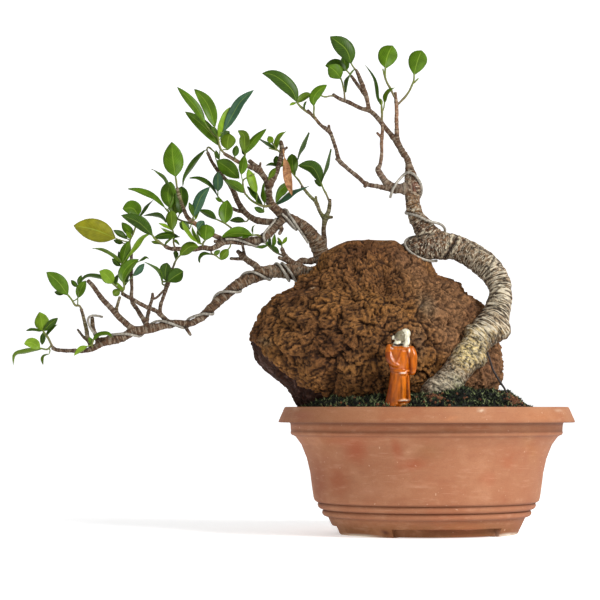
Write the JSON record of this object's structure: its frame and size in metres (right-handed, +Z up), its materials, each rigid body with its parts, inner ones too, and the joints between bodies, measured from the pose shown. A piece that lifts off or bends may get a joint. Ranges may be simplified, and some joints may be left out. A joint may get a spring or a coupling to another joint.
{
  "type": "chinese banyan bonsai",
  "caption": "Chinese banyan bonsai trained in a cascade over a brown rock, in a round terracotta bowl with moss and a small glazed figure.",
  "frame": {"origin": "centre of the flat underside of the bowl", "axes": "+X to the right as seen from the front, the branches reaching towards -X; +Y away from the front; +Z up"},
  "size_m": [0.5596, 0.294, 0.4974],
  "materials": {
    "terracotta": "matt unglazed terracotta",
    "earth": "damp loose soil",
    "moss_green": "rough moss",
    "rock_brown": "rough weathered rock",
    "bark": "rough bark",
    "stick": "dark dry stick",
    "glazed_clay": "glossy glaze",
    "wire_grey": "dull",
    "leaf_green": "leathery leaf with a soft shine",
    "leaf_young": "soft young leaf",
    "leaf_dry": "dry leaf"
  },
  "bodies": {
    "root": {"bowl": "terracotta", "soil": "earth", "moss": "moss_green", "rock": "rock_brown", "wood": "bark", "stick": "stick", "figurine": "glazed_clay", "dry_leaf": "leaf_dry", "wire_apex": "wire_grey", "wire_low_end": "wire_grey", "wire_upper": "wire_grey", "wire_middle": "wire_grey", "wire_low": "wire_grey", "leaves_01_low_tip": "leaf_green", "leaves_02_low_side": "leaf_green", "leaves_03_low_left_top": "leaf_green", "leaves_04_low_cross_top": "leaf_green", "leaves_05_rise_top": "leaf_green", "leaves_06_rise_side": "leaf_green", "leaves_07_middle_end": "leaf_green", "leaves_08_middle_far": "leaf_young", "leaves_09_tan_side": "leaf_green", "leaves_10_tan_top": "leaf_green", "leaves_11_tan_middle": "leaf_green", "leaves_12_middle_mid": "leaf_young", "leaves_13_knuckle_top": "leaf_green", "leaves_14_knuckle_side": "leaf_green", "leaves_15_middle_under": "leaf_green", "leaves_16_middle_drop": "leaf_green", "leaves_17_middle_rise": "leaf_green", "leaves_18_back_side": "leaf_green", "leaves_19_middle_front": "leaf_green", "leaves_20_back_top": "leaf_green", "leaves_21_back_twig": "leaf_green", "leaves_22_upper_spray": "leaf_green", "leaves_23_twig_end": "leaf_green", "leaves_24_twig_middle": "leaf_green", "leaves_25_twig_inner": "leaf_green", "leaves_26_fork_right_top": "leaf_young", "leaves_27_fork_right_low": "leaf_green", "leaves_28_fork_crotch": "leaf_green", "leaves_29_pillar_left": "leaf_green", "leaves_30_pillar_right": "leaf_green", "leaves_31_upper_back": "leaf_green", "leaves_32_low_top_side": "leaf_green", "leaves_33_low_top_end": "leaf_young", "leaves_34_bend_end": "leaf_green", "leaves_35_bend_side": "leaf_green", "leaves_36_apex_end": "leaf_young", "leaves_37_apex_rise": "leaf_green", "leaves_38_twin_left_end": "leaf_green", "leaves_39_twin_end": "leaf_green", "leaves_40_thumb_top": "leaf_green", "leaves_41_upright_left": "leaf_green", "leaves_42_upright_right": "leaf_green"}
  },
  "joints": []
}
